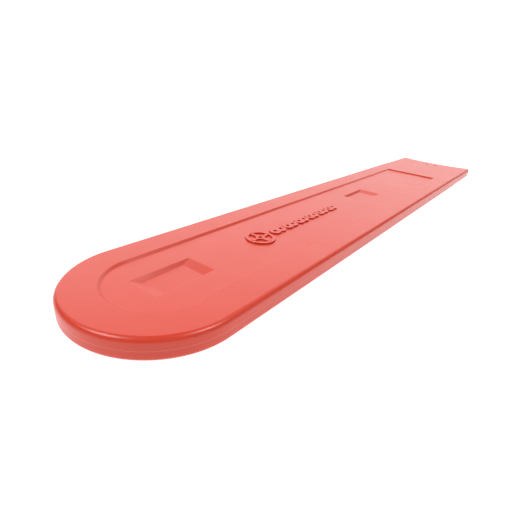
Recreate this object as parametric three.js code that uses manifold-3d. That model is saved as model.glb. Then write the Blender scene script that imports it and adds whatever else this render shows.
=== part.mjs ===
// Scabbard for a chainsaw guide bar: two equal half shells, welded face to face round the rim.
// Millimetres, +Z up. The origin is at the middle of the footprint, on the surface it lies on.
// The rounded nose points to -X and the open mouth to +X.

import * as THREE from 'three';
import { ConvexGeometry } from 'three/addons/geometries/ConvexGeometry.js';
import { mergeVertices } from 'three/addons/utils/BufferGeometryUtils.js';
import Module from 'manifold-3d';

const wasm = await Module();
wasm.setup();

// Driving dimensions
const LENGTH = 590;
const WIDTH = 100;
const THICKNESS = 12.4;
const SIDE_WALL = 2.0;
const FACE_WALL = 1.5;
const PAD_WALL = 1.0;
const EDGE_RADIUS = 2.7;
const INNER_RADIUS = 1.2;

// Sunk panel on each face, with its nose end concentric with the cover's nose
const PANEL_HALF_WIDTH = 30.3;
const PANEL_END = 414;
const PANEL_DEPTH = 1.3;
const PANEL_SLOPE = 1.3;

// Clamping pads: pockets pressed into the panel, that grip the bar's faces
const PAD_CENTRES = [9.3, 257];
const PAD_LENGTH = 43;
const PAD_WIDTH = 22.2;
const PAD_DEPTH = 1.8;
const PAD_END_RAMP = 8;
const PAD_SIDE_RAMP = 2.5;
const PAD_WALL_OFFSET = 0.4;

// Mouth band, a little thinner than the rest, and its edge, hollowed in plan
const BAND_START = 456;
const BAND_STEP = 0.5;
const MOUTH_HOLLOW = 10;
const MOUTH_CORNER = 4;
const DIMPLE_FROM_NOSE = 513;
const DIMPLE_SPREAD = 6.5;
const DIMPLE_RADIUS = 2;
const DIMPLE_DEPTH = 0.5;

// Lap joint in the rim: a tongue on one side of each half, a rebate on the other
const SEAM_GAP = 0.3;
const TONGUE_INSET = 1.2;
const TONGUE_HEIGHT = 1.2;
const REBATE_INSET = 0.9;
const REBATE_HEIGHT = 1.5;

// Raised pictogram: a spoked wheel, and a length of chain
const MOTIF_HEIGHT = 1.1;
const RING_CENTRE = 86;
const RING_RADIUS = 10.6;
const RING_BORE = 8.2;
const LINK_START = 107;
const LINK_PITCH = 16.2;
const LINK_COUNT = 6;
const LOBE_OFFSET = 3.3;
const LOBE_RADIUS = 4.5;
const RIVET_RADIUS = 1.5;
const SPOKE = 1.1;
const HUB_RADIUS = 3.4;

const NOSE_RADIUS = WIDTH / 2;
const NOSE_X = NOSE_RADIUS - LENGTH / 2;
const MOUTH_X = LENGTH / 2;
const HALF = THICKNESS / 2;
const SEAM = SEAM_GAP / 2;
const PAST = 20;
const NOSE_SEGMENTS = 32;
const PANEL_Z = HALF - PANEL_DEPTH;

function solid(geometry) {
  const bare = geometry.index ? geometry : geometry.clone();
  bare.deleteAttribute('normal');
  bare.deleteAttribute('uv');
  const merged = mergeVertices(bare, 1e-4);
  return new wasm.Manifold(new wasm.Mesh({
    numProp: 3,
    vertProperties: merged.attributes.position.array,
    triVerts: new Uint32Array(merged.index.array),
  }));
}

function toGeometry(manifold) {
  const mesh = manifold.getMesh();
  const geometry = new THREE.BufferGeometry();
  geometry.setAttribute('position', new THREE.BufferAttribute(mesh.vertProperties, 3));
  geometry.setIndex(new THREE.BufferAttribute(mesh.triVerts, 1));
  geometry.computeVertexNormals();
  return geometry;
}

// A plate of the given outline between two heights, with rounded or sloped edges.
function plate(shape, low, high, edge = {}) {
  const { rise = 0, run = 0, steps = 1, arcs = NOSE_SEGMENTS } = edge;
  const geometry = new THREE.ExtrudeGeometry(shape, {
    depth: high - low - 2 * rise,
    steps: 1,
    curveSegments: arcs,
    bevelEnabled: rise > 0,
    bevelThickness: rise,
    bevelSize: run,
    bevelOffset: -run,
    bevelSegments: steps,
  });
  geometry.translate(0, 0, low + rise);
  return solid(geometry);
}

function box(lowX, highX, lowY, highY, lowZ, highZ) {
  const geometry = new THREE.BoxGeometry(highX - lowX, highY - lowY, highZ - lowZ);
  geometry.translate((lowX + highX) / 2, (lowY + highY) / 2, (lowZ + highZ) / 2);
  return solid(geometry);
}

// Round-nosed outline, set in from the cover's side by `inset`, with a straight far end.
function noseOutline(inset, endX) {
  const radius = NOSE_RADIUS - inset;
  const shape = new THREE.Shape();
  shape.moveTo(endX, -radius);
  shape.lineTo(NOSE_X, -radius);
  shape.absarc(NOSE_X, 0, radius, -Math.PI / 2, Math.PI / 2, true);
  shape.lineTo(endX, radius);
  shape.closePath();
  return shape;
}

// Everything that lies behind the hollowed mouth edge, with its two rounded corners.
function mouthOutline() {
  const side = NOSE_RADIUS;
  const back = -MOUTH_X - PAST;
  const shape = new THREE.Shape();
  shape.moveTo(back, -side - PAST);
  shape.lineTo(MOUTH_X - MOUTH_CORNER, -side - PAST);
  shape.lineTo(MOUTH_X - MOUTH_CORNER, -side);
  shape.quadraticCurveTo(MOUTH_X, -side, MOUTH_X, -side + MOUTH_CORNER);
  shape.quadraticCurveTo(MOUTH_X - 2 * MOUTH_HOLLOW, 0, MOUTH_X, side - MOUTH_CORNER);
  shape.quadraticCurveTo(MOUTH_X, side, MOUTH_X - MOUTH_CORNER, side);
  shape.lineTo(MOUTH_X - MOUTH_CORNER, side + PAST);
  shape.lineTo(back, side + PAST);
  shape.closePath();
  return shape;
}

// The panel's sloped sinking. With a wall it is the inner face of the same step.
function panelBlock(wall) {
  const grow = wall * Math.tan(Math.PI / 8);
  const outline = noseOutline(NOSE_RADIUS - PANEL_HALF_WIDTH - grow, NOSE_X + PANEL_END + grow);
  const low = PANEL_Z - wall;
  return plate(outline, low, low + 2 * PANEL_DEPTH + PAST, { rise: PANEL_DEPTH, run: PANEL_SLOPE });
}

// A clamping pad's pocket, between two heights below the panel. Its size follows its ramps.
function padBlock(centre, low, high, wall) {
  const corners = [];
  for (const z of [low, high]) {
    const drop = (PANEL_Z - z - wall) / PAD_DEPTH;
    const halfLength = PAD_LENGTH / 2 - PAD_END_RAMP * drop + (wall ? PAD_WALL_OFFSET : 0);
    const halfWidth = PAD_WIDTH / 2 - PAD_SIDE_RAMP * drop + (wall ? PAD_WALL_OFFSET : 0);
    for (const x of [-halfLength, halfLength]) {
      for (const y of [-halfWidth, halfWidth]) {
        corners.push(new THREE.Vector3(NOSE_X + centre + x, y, z));
      }
    }
  }
  return solid(new ConvexGeometry(corners));
}

// Space for the bar and its chain: full width at the rim, narrower between panels and pads.
function barCavity() {
  const roof = HALF - FACE_WALL;
  const edge = { rise: INNER_RADIUS, run: INNER_RADIUS, steps: 2 };
  let cavity = plate(noseOutline(SIDE_WALL, MOUTH_X + PAST), -roof, roof, edge);
  cavity = cavity.subtract(panelBlock(FACE_WALL));
  for (const centre of PAD_CENTRES) {
    cavity = cavity.subtract(padBlock(centre, PANEL_Z - PAD_DEPTH - PAD_WALL, PANEL_Z, FACE_WALL));
  }
  return cavity;
}

function tongue() {
  const ring = plate(noseOutline(TONGUE_INSET, MOUTH_X + PAST), -TONGUE_HEIGHT, 1)
    .subtract(plate(noseOutline(SIDE_WALL, MOUTH_X + 2 * PAST), -HALF, HALF));
  return ring.intersect(box(-LENGTH, LENGTH, SEAM, WIDTH, -HALF, HALF));
}

function rebate() {
  return plate(noseOutline(REBATE_INSET, MOUTH_X + PAST), -HALF, REBATE_HEIGHT)
    .intersect(box(-LENGTH, LENGTH, -WIDTH, SEAM, -HALF, HALF));
}

function disc(x, y, radius, low, high, sides = 24) {
  const geometry = new THREE.CylinderGeometry(radius, radius, high - low, sides);
  geometry.rotateX(Math.PI / 2);
  geometry.translate(x, y, (low + high) / 2);
  return solid(geometry);
}

// A spoked wheel seen from the side, with a hole through its hub.
function wheel(x, low, high) {
  let raised = disc(x, 0, RING_RADIUS, low, high, 40);
  raised = raised.subtract(disc(x, 0, RING_BORE, low - 1, high + 1, 40));
  raised = raised.add(box(x - RING_BORE - 0.5, x + RING_BORE + 0.5, -SPOKE, SPOKE, low, high));
  raised = raised.add(box(x - SPOKE, x + SPOKE, -RING_BORE - 0.5, RING_BORE + 0.5, low, high));
  raised = raised.add(disc(x, 0, HUB_RADIUS, low, high, 20));
  return raised.subtract(disc(x, 0, RIVET_RADIUS, PANEL_Z + 0.1, high + 1, 10));
}

// A chain link seen from the side: two lobes with rivet holes, drawn in at the waist.
function chainLink(x, low, high) {
  let link = disc(x - LOBE_OFFSET, 0, LOBE_RADIUS, low, high, 24);
  link = link.add(disc(x + LOBE_OFFSET, 0, LOBE_RADIUS, low, high, 24));
  for (const end of [-1, 1]) {
    link = link.subtract(disc(x + end * LOBE_OFFSET, 0, RIVET_RADIUS, PANEL_Z + 0.1, high + 1, 10));
  }
  return link;
}

function motif() {
  const low = PANEL_Z - 0.3;
  const high = PANEL_Z + MOTIF_HEIGHT;
  let raised = wheel(NOSE_X + RING_CENTRE, low, high);
  for (let number = 0; number < LINK_COUNT; number += 1) {
    raised = raised.add(chainLink(NOSE_X + LINK_START + number * LINK_PITCH, low, high));
  }
  return raised;
}

// One half, with the seam at z = 0 and its outer face up.
function halfShell() {
  const rounded = { rise: EDGE_RADIUS, run: EDGE_RADIUS, steps: 3 };
  let shell = plate(noseOutline(0, MOUTH_X + PAST), -HALF, HALF, rounded);
  shell = shell.intersect(box(-LENGTH, LENGTH, -WIDTH, WIDTH, SEAM, THICKNESS));
  shell = shell.add(tongue()).subtract(barCavity()).subtract(rebate()).subtract(panelBlock(0));
  for (const centre of PAD_CENTRES) {
    shell = shell.subtract(padBlock(centre, PANEL_Z - PAD_DEPTH, PANEL_Z + 0.5, 0));
  }
  const bandX = NOSE_X + BAND_START;
  const bandZ = HALF - BAND_STEP;
  shell = shell.subtract(box(bandX, LENGTH, -WIDTH, WIDTH, bandZ, THICKNESS));
  for (const side of [-1, 1]) {
    const dimpleX = NOSE_X + DIMPLE_FROM_NOSE;
    shell = shell.subtract(
      disc(dimpleX, side * DIMPLE_SPREAD, DIMPLE_RADIUS, bandZ - DIMPLE_DEPTH, THICKNESS, 16));
  }
  shell = shell.intersect(plate(mouthOutline(), -THICKNESS, THICKNESS, { arcs: 12 }));
  return shell.add(motif());
}

const shellGeometry = toGeometry(halfShell());
const orangePlastic = { color: 0xde5238, roughness: 0.42, metalness: 0 };

function shellMesh(name, turn) {
  const mesh = new THREE.Mesh(shellGeometry.clone(), new THREE.MeshStandardMaterial(orangePlastic));
  mesh.name = name;
  mesh.rotation.x = turn;
  mesh.position.z = HALF;
  return mesh;
}

const scabbard = new THREE.Group();
scabbard.add(shellMesh('top_shell', 0));
scabbard.add(shellMesh('bottom_shell', Math.PI));

export default scabbard;
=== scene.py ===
# Looks of a chainsaw bar scabbard: two equal moulded halves in orange polyethylene, on a pale floor.
from math import cos, pi, radians, sin, tan

import bpy
from mathutils import Matrix, Vector


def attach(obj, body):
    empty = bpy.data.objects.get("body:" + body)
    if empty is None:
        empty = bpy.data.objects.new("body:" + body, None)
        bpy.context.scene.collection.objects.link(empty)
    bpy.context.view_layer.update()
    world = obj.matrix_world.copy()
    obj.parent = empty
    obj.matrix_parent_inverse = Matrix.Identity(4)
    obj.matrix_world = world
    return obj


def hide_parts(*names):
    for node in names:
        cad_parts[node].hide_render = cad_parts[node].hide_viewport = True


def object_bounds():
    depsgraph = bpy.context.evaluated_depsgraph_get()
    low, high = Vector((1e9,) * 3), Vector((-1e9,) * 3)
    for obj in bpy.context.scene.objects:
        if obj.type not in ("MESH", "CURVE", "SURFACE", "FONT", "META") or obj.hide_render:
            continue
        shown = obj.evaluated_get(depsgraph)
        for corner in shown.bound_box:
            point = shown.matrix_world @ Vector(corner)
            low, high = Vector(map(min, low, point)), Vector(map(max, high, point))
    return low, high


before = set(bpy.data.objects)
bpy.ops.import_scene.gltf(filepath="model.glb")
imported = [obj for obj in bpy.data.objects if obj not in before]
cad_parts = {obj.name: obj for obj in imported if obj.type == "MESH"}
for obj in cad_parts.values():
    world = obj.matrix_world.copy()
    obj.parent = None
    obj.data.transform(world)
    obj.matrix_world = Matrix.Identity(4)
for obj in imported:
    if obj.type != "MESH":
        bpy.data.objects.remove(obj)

cad_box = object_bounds()

# ---- sizes, in metres; the outside sizes come from the frame ----
MM = 0.001
low, high = cad_box
LENGTH = high[0] - low[0]
WIDTH = high[1] - low[1]
THICKNESS = high[2] - low[2]
SEAM_Z = (low[2] + high[2]) / 2
TOP_Z = high[2]
NOSE_RADIUS = WIDTH / 2
NOSE_X = low[0] + NOSE_RADIUS
MOUTH_X = high[0]

SKIN = 0.02 * MM                      # the visible halves stay this much inside the frame's box
SIDE_WALL = 2.0 * MM
FACE_WALL = 1.5 * MM
PAD_WALL = 1.0 * MM
EDGE_RADIUS = 2.9 * MM
EDGE_STEPS = 16
INNER_RADIUS = 1.2 * MM
SMALL_BEVEL = 0.3 * MM
PANEL_HALF_WIDTH = 30.3 * MM
PANEL_END = NOSE_X + 414 * MM
PANEL_DEPTH = 1.3 * MM
PANEL_SLOPE = 1.3 * MM
STEP_FLARE = 0.25 * MM
STEP_RINGS = 12
PANEL_Z = TOP_Z - PANEL_DEPTH
PAD_CENTRES = [NOSE_X + 9.3 * MM, NOSE_X + 257 * MM]
PAD_LENGTH = 43 * MM
PAD_WIDTH = 22.2 * MM
PAD_DEPTH = 1.8 * MM
PAD_END_RAMP = 8 * MM
PAD_SIDE_RAMP = 2.5 * MM
BAND_START = NOSE_X + 456 * MM
BAND_STEP = 0.5 * MM
BAND_INSET = 0.05 * MM
MOUTH_HOLLOW = 10 * MM
MOUTH_CORNER = 4 * MM
DIMPLE_X = NOSE_X + 513 * MM
DIMPLE_SPREAD = 6.5 * MM
DIMPLE_RADIUS = 2 * MM
DIMPLE_DEPTH = 0.5 * MM
SEAM_GAP = 0.004 * MM
# the pale weld line below is a painted highlight: a pale band painted into the colour along the seam
SEAM_HIGHLIGHT_RISE = 0.16 * MM                 # half height of the pale weld line in the side wall
TONGUE_INSET = 1.2 * MM
TONGUE_HEIGHT = 1.2 * MM
REBATE_INSET = 0.9 * MM
REBATE_HEIGHT = 1.5 * MM
LAP_MIDDLE = 0.15 * MM                # where the tongue side and the rebate side meet
SIGN_HEIGHT = 1.1 * MM
SIGN_EDGE = 0.2 * MM
RING_X = NOSE_X + 86 * MM
RING_RADIUS = 10.6 * MM
RING_BAND = 2.4 * MM
LINK_START = NOSE_X + 107 * MM
LINK_PITCH = 16.2 * MM
LINK_COUNT = 6
LOBE_OFFSET = 3.3 * MM
LOBE_RADIUS = 4.5 * MM
RIVET_RADIUS = 1.5 * MM
SPOKE = 1.1 * MM
HUB_RADIUS = 3.4 * MM
PAST = 30 * MM                        # how far a cutter runs past the material

# ---- colours ----
ORANGE_DEEP = (0.725, 0.058, 0.029, 1)
ORANGE_LIGHT = (0.755, 0.067, 0.034, 1)
# pale colour for the painted highlight along the seam, and also for faint random streaks
SEAM_HIGHLIGHT_AND_STREAK_PALE = (0.92, 0.30, 0.22, 1)
FLOOR_GREY = (0.25, 0.25, 0.25, 1)

# ---- light and camera ----
ROOM = 0.07                           # how bright the dark part of the room is
BACKDROP = 1.7                        # how bright the backdrop is
BACKDROP_AZIMUTH = 42                 # degrees
BACKDROP_EDGES = (56, 45)             # degrees to either side, where it starts and where it is full
BACKDROP_SHADES = [(0.26, 0.68), (0.50, 1.05), (0.66, 0.9)]      # height on the sky, light there
FLOOR_GLOW = 1.05
# round soft lights: name, azimuth, elevation and width in degrees, power
SOFT_LIGHTS = [("left_light", 145, 54, 24, 1.65), ("right_light", -57, 57, 20, 1.35)]
CAMERA_AZIMUTH = -144.466
CAMERA_ELEVATION = 26.013
CAMERA_ROLL = 5.088
CAMERA_DISTANCE = 253.24 * MM
CAMERA_TARGET = (NOSE_X + 77.45 * MM, -7.49 * MM, low[2])
CAMERA_LENS = 25.83


# ---- modelling helpers ----
def pick_nothing():
    if bpy.context.object and bpy.context.object.mode != "OBJECT":
        bpy.ops.object.mode_set(mode="OBJECT")
    bpy.ops.object.select_all(action="DESELECT")


def only(piece):
    pick_nothing()
    piece.select_set(True)
    bpy.context.view_layer.objects.active = piece


def bake_place(piece):
    only(piece)
    bpy.ops.object.transform_apply(location=True, rotation=True, scale=True)
    return piece


def select_where(piece, kind, test):
    """In edit mode, selects the faces, edges or vertices of which every corner passes the test."""
    bpy.ops.mesh.select_mode(type=kind)
    bpy.ops.mesh.select_all(action="DESELECT")
    bpy.ops.object.mode_set(mode="OBJECT")
    mesh = piece.data
    elements = {"VERT": mesh.vertices, "EDGE": mesh.edges, "FACE": mesh.polygons}[kind]
    for element in elements:
        if kind == "VERT":
            corners = [element.co]
        else:
            corners = [mesh.vertices[i].co for i in element.vertices]
        element.select = all(test(c) for c in corners)
    bpy.ops.object.mode_set(mode="EDIT")


def cut(piece, cutter, operation="DIFFERENCE"):
    """Joins or cuts with a second closed solid, which is used up."""
    only(piece)
    boolean = piece.modifiers.new("cut", "BOOLEAN")
    boolean.operation = operation
    boolean.solver = "MANIFOLD"
    boolean.object = cutter
    bpy.ops.object.modifier_apply(modifier=boolean.name)
    bpy.data.objects.remove(cutter)
    return piece


def join(piece, other):
    return cut(piece, other, "UNION")


def slab(name, low_corner, high_corner):
    """A block between two corners."""
    pick_nothing()
    middle = (Vector(low_corner) + Vector(high_corner)) / 2
    bpy.ops.mesh.primitive_cube_add(size=1, location=middle)
    piece = bpy.context.object
    piece.name = name
    piece.scale = Vector(high_corner) - Vector(low_corner)
    return bake_place(piece)


def disc(name, x, y, radius, low_z, high_z, sides=48):
    """A round post between two heights."""
    pick_nothing()
    bpy.ops.mesh.primitive_cylinder_add(
        vertices=sides, radius=radius, depth=high_z - low_z, location=(x, y, (low_z + high_z) / 2))
    piece = bpy.context.object
    piece.name = name
    return bake_place(piece)


def nosed_plate(name, radius, end_x, low_z, high_z, sides=192):
    """A round disc halved through its middle, and its flat drawn out to the far end."""
    pick_nothing()
    place = (NOSE_X, 0, (low_z + high_z) / 2)
    bpy.ops.mesh.primitive_cylinder_add(vertices=sides, radius=radius, depth=high_z - low_z, location=place)
    piece = bpy.context.object
    piece.name = name
    bake_place(piece)
    bpy.ops.object.mode_set(mode="EDIT")
    bpy.ops.mesh.select_all(action="SELECT")
    bpy.ops.mesh.bisect(plane_co=(NOSE_X, 0, 0), plane_no=(1, 0, 0), use_fill=True, clear_outer=True)
    select_where(piece, "FACE", lambda c: abs(c.x - NOSE_X) < 1e-5)
    bpy.ops.mesh.extrude_region_move(TRANSFORM_OT_translate={"value": (end_x - NOSE_X, 0, 0)})
    bpy.ops.mesh.select_all(action="SELECT")
    bpy.ops.mesh.dissolve_limited(angle_limit=radians(0.05))
    bpy.ops.mesh.normals_make_consistent(inside=False)
    bpy.ops.object.mode_set(mode="OBJECT")
    return piece


def bevel_edges(piece, offset, steps, test):
    """Bevels the sharp edges of which both ends, taken together, pass the test."""
    only(piece)
    bpy.ops.object.mode_set(mode="EDIT")
    bpy.ops.mesh.select_mode(type="EDGE")
    bpy.ops.mesh.select_all(action="DESELECT")
    bpy.ops.mesh.edges_select_sharp(sharpness=radians(30))
    bpy.ops.object.mode_set(mode="OBJECT")
    mesh = piece.data
    for edge in mesh.edges:
        start, end = (mesh.vertices[i].co for i in edge.vertices)
        edge.select = edge.select and test(start, end)
    bpy.ops.object.mode_set(mode="EDIT")
    bpy.ops.mesh.bevel(offset=offset, segments=steps, offset_type="OFFSET")
    bpy.ops.object.mode_set(mode="OBJECT")
    return piece


def around(z, end_x=None):
    """Test for the edge round a plate at height z, leaving out its far end if that is given."""
    def test(start, end):
        level = abs(start.z - z) < 1e-6 and abs(end.z - z) < 1e-6
        across = end_x is not None and min(start.x, end.x) > end_x - 1e-6
        return level and not across
    return test


def easing(share):
    """A ramp from 0 to 1 that starts and ends level: rounded over its first and last eighth."""
    turn = 0.12
    slope = 1 / (1 - turn)
    if share < turn:
        return slope * share ** 2 / (2 * turn)
    if share > 1 - turn:
        return 1 - slope * (1 - share) ** 2 / (2 * turn)
    return slope * (share - turn / 2)


def panel_cutter():
    """The sunk panel's space. Its lower face is inset again and again, down the rounded step."""
    half_width = PANEL_HALF_WIDTH + STEP_FLARE
    block = nosed_plate("panel_cutter", half_width, PANEL_END + STEP_FLARE, TOP_Z - SKIN, TOP_Z + PAST)
    run = PANEL_SLOPE + 2 * STEP_FLARE
    depth = PANEL_DEPTH - SKIN
    only(block)
    bpy.ops.object.mode_set(mode="EDIT")
    select_where(block, "FACE", lambda c: c.z < TOP_Z)
    for step in range(STEP_RINGS):
        sink = easing((step + 1) / STEP_RINGS) - easing(step / STEP_RINGS)
        bpy.ops.mesh.inset(thickness=run / STEP_RINGS, depth=depth * sink)
    bpy.ops.object.mode_set(mode="OBJECT")
    return block


def panel_inside():
    """The inner face of the same step, one wall thickness further in, with plain chamfered edges."""
    grow = FACE_WALL * tan(pi / 8)
    floor_z = PANEL_Z - FACE_WALL
    block = nosed_plate("panel_inside", PANEL_HALF_WIDTH + grow, PANEL_END + grow, floor_z, TOP_Z + PAST)
    return bevel_edges(block, PANEL_DEPTH, 1, around(floor_z))


def pad_cutter(centre_x):
    """A clamping pad's pocket: long ramps at its ends, steep ramps along its sides, all rounded."""
    half_x = PAD_LENGTH / 2
    half_y = PAD_WIDTH / 2
    low_corner = (centre_x - half_x, -half_y, PANEL_Z)
    block = slab("pad_cutter", low_corner, (centre_x + half_x, half_y, PANEL_Z + MM))
    bevel_edges(block, SMALL_BEVEL, 3, lambda a, b: abs(a.x - b.x) < 1e-6 and abs(a.y - b.y) < 1e-6)
    only(block)
    bpy.ops.object.mode_set(mode="EDIT")
    select_where(block, "FACE", lambda c: c.z < PANEL_Z + 1e-6)
    for step in range(STEP_RINGS):
        before = step / STEP_RINGS
        share = (step + 1) / STEP_RINGS
        sink = easing(share) - easing(before)
        bpy.ops.mesh.extrude_region_move(TRANSFORM_OT_translate={"value": (0, 0, -PAD_DEPTH * sink)})
        scale_x = (half_x - PAD_END_RAMP * share) / (half_x - PAD_END_RAMP * before)
        scale_y = (half_y - PAD_SIDE_RAMP * share) / (half_y - PAD_SIDE_RAMP * before)
        bpy.ops.transform.resize(value=(scale_x, scale_y, 1), center_override=(centre_x, 0, 0))
    bpy.ops.object.mode_set(mode="OBJECT")
    return block


def pad_inside(centre_x):
    """The inner face of a pad, which presses on the bar."""
    low_z = PANEL_Z - PAD_DEPTH - PAD_WALL
    half_x = PAD_LENGTH / 2 - PAD_END_RAMP + 2 * MM
    half_y = PAD_WIDTH / 2 - PAD_SIDE_RAMP + MM
    block = slab("pad_inside", (centre_x - half_x, -half_y, low_z), (centre_x + half_x, half_y, PANEL_Z))
    bpy.ops.object.mode_set(mode="EDIT")
    select_where(block, "FACE", lambda c: c.z > low_z + 1e-6)
    spread_x = (half_x + PAD_END_RAMP) / half_x
    spread_y = (half_y + PAD_SIDE_RAMP) / half_y
    bpy.ops.transform.resize(value=(spread_x, spread_y, 1), center_override=(centre_x, 0, PANEL_Z))
    bpy.ops.object.mode_set(mode="OBJECT")
    return block


def mouth_hollow():
    """A wide round cutter that hollows the mouth edge in plan."""
    radius = (NOSE_RADIUS ** 2 + MOUTH_HOLLOW ** 2) / (2 * MOUTH_HOLLOW)
    centre_x = MOUTH_X - SKIN - MOUTH_HOLLOW + radius
    return disc("mouth_hollow", centre_x, 0, radius, -PAST, THICKNESS + PAST, 768)


def mouth_band(top, bottom, half_width):
    """The thinner band at the mouth: rounded along its sides, hollowed at its end, its corners turned."""
    end_x = MOUTH_X - SKIN
    band = slab("mouth_band", (BAND_START - 10 * MM, -half_width, bottom), (end_x, half_width, top))
    for z in (top, bottom):
        level = around(z)
        bevel_edges(band, EDGE_RADIUS, EDGE_STEPS, lambda a, b: level(a, b) and abs(a.y - b.y) < 1e-6)
    band = cut(band, mouth_hollow())
    for side in (-1, 1):
        x = end_x - MOUTH_CORNER
        y = side * (half_width - MOUTH_CORNER)
        low_y, high_y = sorted((y, side * WIDTH))
        corner = slab("corner", (x, low_y, -PAST), (MOUTH_X + PAST, high_y, THICKNESS + PAST))
        post = disc("post", x, y, MOUTH_CORNER, -2 * PAST, THICKNESS + 2 * PAST)
        band = cut(band, cut(corner, post))
    return band


def cover_body():
    """The whole cover as one solid block, both faces alike."""
    radius = NOSE_RADIUS - SKIN
    top = TOP_Z - SKIN
    bottom = 2 * SEAM_Z - top
    body = nosed_plate("cover_body", radius, BAND_START, bottom, top)
    for z in (top, bottom):
        bevel_edges(body, EDGE_RADIUS, EDGE_STEPS, around(z, BAND_START))
        level = around(z)
        bevel_edges(body, SMALL_BEVEL, 3, lambda a, b: level(a, b) and min(a.x, b.x) > BAND_START - MM)
    band = mouth_band(top - BAND_STEP, bottom + BAND_STEP, radius - BAND_INSET)
    return join(body, band)


def outer_half():
    """Upper half of the outside: panel, pads and dimples, parted at the seam."""
    body = cover_body()
    body = cut(body, panel_cutter())
    for centre_x in PAD_CENTRES:
        body = cut(body, pad_cutter(centre_x))
    for side in (-1, 1):
        dimple_z = TOP_Z - BAND_STEP - DIMPLE_DEPTH
        dimple = disc("dimple", DIMPLE_X, side * DIMPLE_SPREAD, DIMPLE_RADIUS, dimple_z, TOP_Z + PAST)
        body = cut(body, dimple)
    return cut(body, slab("below", (-LENGTH, -WIDTH, -PAST), (LENGTH, WIDTH, SEAM_Z + SEAM_GAP / 2)))


def bar_cavity():
    """Space for the bar and its chain: wide at the rim, narrower between the panels and the pads."""
    roof = TOP_Z - FACE_WALL
    cavity = nosed_plate("cavity", NOSE_RADIUS - SIDE_WALL, MOUTH_X + PAST, 2 * SEAM_Z - roof, roof)
    bevel_edges(cavity, INNER_RADIUS, 4, around(roof, MOUTH_X + PAST))
    cavity = cut(cavity, panel_inside())
    for centre_x in PAD_CENTRES:
        cavity = cut(cavity, pad_inside(centre_x))
    return cavity


def rim_ring(name, outer_inset, low_z, high_z, low_y, high_y):
    """A strip of the rim's inner side, between two heights and to one side of the middle line."""
    ring = nosed_plate(name, NOSE_RADIUS - outer_inset, MOUTH_X + PAST, low_z, high_z)
    inner = nosed_plate("inner", NOSE_RADIUS - SIDE_WALL, MOUTH_X + 2 * PAST, low_z - PAST, high_z + PAST)
    ring = cut(ring, inner)
    side = slab("side", (-LENGTH, low_y, low_z - PAST), (LENGTH, high_y, high_z + PAST))
    return cut(ring, side, "INTERSECT")


def rivet_hole(x, high_z):
    return disc("rivet_hole", x, 0, RIVET_RADIUS, PANEL_Z + 0.1 * MM, high_z + MM, 24)


def wheel(low_z, high_z):
    """A spoked wheel seen from the side, with a hole in its hub."""
    x = RING_X
    bore = RING_RADIUS - RING_BAND
    reach = bore + 0.5 * MM
    piece = disc("wheel", x, 0, RING_RADIUS, low_z, high_z, 96)
    piece = cut(piece, disc("bore", x, 0, bore, low_z - MM, high_z + MM, 96))
    piece = join(piece, slab("spoke", (x - reach, -SPOKE, low_z), (x + reach, SPOKE, high_z)))
    piece = join(piece, slab("spoke", (x - SPOKE, -reach, low_z), (x + SPOKE, reach, high_z)))
    piece = join(piece, disc("hub", x, 0, HUB_RADIUS, low_z, high_z, 48))
    return cut(bevel_edges(piece, SIGN_EDGE, 3, around(high_z)), rivet_hole(x, high_z))


def chain_link(low_z, high_z):
    """The first chain link: two round lobes that run into each other, with rivet holes."""
    lobes = []
    for end in (-1, 1):
        lobe = disc("link", LINK_START + end * LOBE_OFFSET, 0, LOBE_RADIUS, low_z, high_z, 48)
        lobes.append(bevel_edges(lobe, SIGN_EDGE, 3, around(high_z)))
    link = join(*lobes)
    for end in (-1, 1):
        link = cut(link, rivet_hole(LINK_START + end * LOBE_OFFSET, high_z))
    return link


def sign():
    """Raised pictogram: a wheel, then a length of chain."""
    low_z = PANEL_Z - 0.3 * MM
    high_z = PANEL_Z + SIGN_HEIGHT
    link = chain_link(low_z, high_z)
    pieces = [wheel(low_z, high_z), link]
    for number in range(1, LINK_COUNT):
        copy = link.copy()
        copy.data = link.data.copy()
        bpy.context.collection.objects.link(copy)
        copy.location.x = number * LINK_PITCH
        pieces.append(bake_place(copy))
    pick_nothing()
    for piece in pieces:
        piece.select_set(True)
    bpy.context.view_layer.objects.active = pieces[0]
    bpy.ops.object.join()
    return pieces[0]


def top_half():
    """One moulding: the outside, hollowed, with its tongue on one side and its rebate on the other."""
    half = outer_half()
    half = cut(half, bar_cavity())
    rebate = rim_ring("rebate", REBATE_INSET, SEAM_Z - PAST, SEAM_Z + REBATE_HEIGHT, -WIDTH, LAP_MIDDLE)
    half = cut(half, rebate)
    tongue = rim_ring("tongue", TONGUE_INSET, SEAM_Z - TONGUE_HEIGHT, SEAM_Z + MM, LAP_MIDDLE, WIDTH)
    past_x = MOUTH_X - MOUTH_CORNER - MM
    tongue = cut(tongue, slab("past", (past_x, -WIDTH, -PAST), (MOUTH_X + 3 * PAST, WIDTH, PAST)))
    half = join(half, tongue)
    half = join(half, sign())
    half.name = "top_half"
    return half


def turned_over(piece, name):
    """The same moulding again, turned over about the cover's long middle line."""
    copy = piece.copy()
    copy.data = piece.data.copy()
    copy.name = name
    bpy.context.collection.objects.link(copy)
    up = Matrix.Translation((0, 0, SEAM_Z))
    copy.matrix_world = up @ Matrix.Rotation(pi, 4, "X") @ up.inverted()
    return bake_place(copy)


def smooth(piece):
    only(piece)
    bpy.ops.object.shade_smooth_by_angle(angle=radians(14))
    weighted = piece.modifiers.new("even_shading", "WEIGHTED_NORMAL")
    weighted.keep_sharp = True
    bpy.ops.object.modifier_apply(modifier=weighted.name)
    return piece


# ---- materials ----
def noise(nodes, links, coordinates, scale, detail, rough=0.5):
    """A cloudy pattern on the object's own coordinates, with `scale` patches to the metre."""
    texture = nodes.new("ShaderNodeTexNoise")
    texture.inputs["Scale"].default_value = scale
    texture.inputs["Detail"].default_value = detail
    texture.inputs["Roughness"].default_value = rough
    links.new(coordinates, texture.inputs["Vector"])
    return texture.outputs["Fac"]


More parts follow.
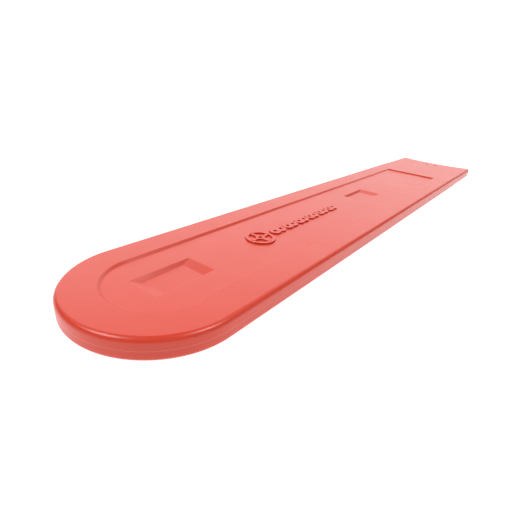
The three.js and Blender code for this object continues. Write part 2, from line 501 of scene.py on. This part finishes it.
def spread(nodes, links, value, from_low, from_high, to_low, to_high):
    """Maps one range of a value onto another, and holds it inside."""
    node = nodes.new("ShaderNodeMapRange")
    node.inputs["From Min"].default_value = from_low
    node.inputs["From Max"].default_value = from_high
    node.inputs["To Min"].default_value = to_low
    node.inputs["To Max"].default_value = to_high
    links.new(value, node.inputs["Value"])
    return node.outputs["Result"]


def bump(nodes, links, height, strength, distance, before=None):
    node = nodes.new("ShaderNodeBump")
    node.inputs["Strength"].default_value = strength
    node.inputs["Distance"].default_value = distance
    links.new(height, node.inputs["Height"])
    if before:
        links.new(before, node.inputs["Normal"])
    return node.outputs["Normal"]


def orange_plastic():
    """Moulded polyethylene: warm orange, slightly milky, satin, with mould grain, faint pale streaks, and a
    painted highlight: a pale line along the weld at the seam.
    """
    material = bpy.data.materials.new("orange_plastic")
    material.use_nodes = True
    nodes = material.node_tree.nodes
    links = material.node_tree.links
    shader = nodes["Principled BSDF"]
    shader.inputs["IOR"].default_value = 1.47
    shader.inputs["Subsurface Weight"].default_value = 0.12
    shader.inputs["Subsurface Radius"].default_value = (1.0, 0.25, 0.12)
    shader.inputs["Subsurface Scale"].default_value = 0.002
    place = nodes.new("ShaderNodeTexCoord").outputs["Object"]

    clouds = noise(nodes, links, place, 14, 3)
    ramp = nodes.new("ShaderNodeValToRGB")
    ramp.color_ramp.elements[0].position = 0.2
    ramp.color_ramp.elements[0].color = ORANGE_DEEP
    ramp.color_ramp.elements[1].position = 0.8
    ramp.color_ramp.elements[1].color = ORANGE_LIGHT
    links.new(clouds, ramp.inputs["Fac"])

    axes = nodes.new("ShaderNodeSeparateXYZ")
    links.new(place, axes.inputs["Vector"])
    # painted highlight: a pale band in the colour at the seam's height, standing in for light caught along
    # the weld line
    seam_highlight_band = nodes.new("ShaderNodeMath")
    seam_highlight_band.operation = "COMPARE"
    links.new(axes.outputs["Z"], seam_highlight_band.inputs[0])
    seam_highlight_band.inputs[1].default_value = SEAM_Z
    seam_highlight_band.inputs[2].default_value = SEAM_HIGHLIGHT_RISE
    stretch = nodes.new("ShaderNodeMapping")
    stretch.inputs["Scale"].default_value = (9, 9, 1300)
    links.new(place, stretch.inputs["Vector"])
    streaks = spread(nodes, links, noise(nodes, links, stretch.outputs["Vector"], 1, 3), 0.4, 0.8, 0, 0.04)
    pale = nodes.new("ShaderNodeMath")
    pale.operation = "MULTIPLY_ADD"
    links.new(seam_highlight_band.outputs["Value"], pale.inputs[0])
    pale.inputs[1].default_value = 0.35
    links.new(streaks, pale.inputs[2])
    # mixes the painted seam highlight and the faint random pale streaks into the base colour
    seam_highlight_and_streaks = nodes.new("ShaderNodeMix")
    seam_highlight_and_streaks.data_type = "RGBA"
    links.new(pale.outputs["Value"], seam_highlight_and_streaks.inputs["Factor"])
    links.new(ramp.outputs["Color"], seam_highlight_and_streaks.inputs["A"])
    seam_highlight_and_streaks.inputs["B"].default_value = SEAM_HIGHLIGHT_AND_STREAK_PALE
    links.new(seam_highlight_and_streaks.outputs["Result"], shader.inputs["Base Color"])

    smears = noise(nodes, links, place, 60, 4, 0.6)
    links.new(spread(nodes, links, smears, 0.15, 0.85, 0.26, 0.35), shader.inputs["Roughness"])

    grain = noise(nodes, links, place, 2600, 2)
    waves = noise(nodes, links, place, 38, 2)
    normal = bump(nodes, links, waves, 0.25, 0.0006)
    normal = bump(nodes, links, grain, 0.06, 0.0002, normal)
    links.new(normal, shader.inputs["Normal"])
    return material


# ---- scene ----
def stage():
    pick_nothing()
    bpy.ops.mesh.primitive_circle_add(vertices=64, radius=40, fill_type="NGON", location=(0, 0, -0.0002))
    floor = bpy.context.object
    floor.name = "floor"
    material = bpy.data.materials.new("pale_floor")
    material.use_nodes = True
    shader = material.node_tree.nodes["Principled BSDF"]
    shader.inputs["Base Color"].default_value = FLOOR_GREY
    shader.inputs["Roughness"].default_value = 0.9
    shader.inputs["Specular IOR Level"].default_value = 0.2
    shader.inputs["Emission Color"].default_value = (1, 1, 1, 1)
    shader.inputs["Emission Strength"].default_value = FLOOR_GLOW
    floor.data.materials.append(material)


def studio():
    """A dim room with a bright backdrop behind the cover, and a round soft light on either side."""
    world = bpy.data.worlds.new("studio")
    world.use_nodes = True
    nodes = world.node_tree.nodes
    links = world.node_tree.links
    axes = nodes.new("ShaderNodeSeparateXYZ")
    links.new(nodes.new("ShaderNodeTexCoord").outputs["Generated"], axes.inputs["Vector"])
    level = nodes.new("ShaderNodeCombineXYZ")
    links.new(axes.outputs["X"], level.inputs["X"])
    links.new(axes.outputs["Y"], level.inputs["Y"])
    heading = nodes.new("ShaderNodeVectorMath")
    heading.operation = "NORMALIZE"
    links.new(level.outputs["Vector"], heading.inputs[0])
    facing = nodes.new("ShaderNodeVectorMath")
    facing.operation = "DOT_PRODUCT"
    behind = radians(BACKDROP_AZIMUTH)
    facing.inputs[1].default_value = (cos(behind), sin(behind), 0)
    links.new(heading.outputs["Vector"], facing.inputs[0])
    start, full = (cos(radians(edge)) for edge in BACKDROP_EDGES)
    across = spread(nodes, links, facing.outputs["Value"], start, full, 0, BACKDROP)
    upward = nodes.new("ShaderNodeValToRGB")
    links.new(axes.outputs["Z"], upward.inputs["Fac"])
    shades = upward.color_ramp.elements
    for height, grey in BACKDROP_SHADES:
        shades.new(height).color = (grey, grey, grey, 1)
    shades[0].color = (0.6, 0.6, 0.6, 1)
    shades[-1].position = 0.84
    shades[-1].color = (0, 0, 0, 1)
    glow = nodes.new("ShaderNodeMath")
    glow.operation = "MULTIPLY_ADD"
    links.new(across, glow.inputs[0])
    links.new(upward.outputs["Color"], glow.inputs[1])
    glow.inputs[2].default_value = ROOM
    links.new(glow.outputs["Value"], nodes["Background"].inputs["Strength"])
    nodes["Background"].inputs["Color"].default_value = (1, 1, 1, 1)
    bpy.context.scene.world = world
    bpy.context.scene.view_settings.view_transform = "Standard"
    for name, azimuth, elevation, width, power in SOFT_LIGHTS:
        light = bpy.data.lights.new(name, "SUN")
        light.energy = power
        light.angle = radians(width)
        lamp = bpy.data.objects.new(name, light)
        lamp.rotation_euler = (radians(90 - elevation), 0, radians(azimuth + 90))
        bpy.context.collection.objects.link(lamp)


def camera():
    """A short lens close to the nose, looking along the cover from one side."""
    azimuth = radians(CAMERA_AZIMUTH)
    elevation = radians(CAMERA_ELEVATION)
    back = Vector((cos(azimuth) * cos(elevation), sin(azimuth) * cos(elevation), sin(elevation)))
    data = bpy.data.cameras.new("camera")
    data.sensor_width = 36
    data.lens = CAMERA_LENS
    data.clip_start = 0.01
    eye = bpy.data.objects.new("camera", data)
    turn = back.to_track_quat("Z", "Y").to_matrix() @ Matrix.Rotation(radians(CAMERA_ROLL), 3, "Z")
    eye.matrix_world = Matrix.Translation(Vector(CAMERA_TARGET) + CAMERA_DISTANCE * back) @ turn.to_4x4()
    bpy.context.collection.objects.link(eye)
    bpy.context.scene.camera = eye


plastic = orange_plastic()
upper = top_half()
lower = turned_over(upper, "bottom_half")
for piece, node in ((upper, "top_shell"), (lower, "bottom_shell")):
    smooth(piece)
    piece.data.materials.clear()
    piece.data.materials.append(plastic)
    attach(piece, "root")
    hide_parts(node)
stage()
studio()
camera()
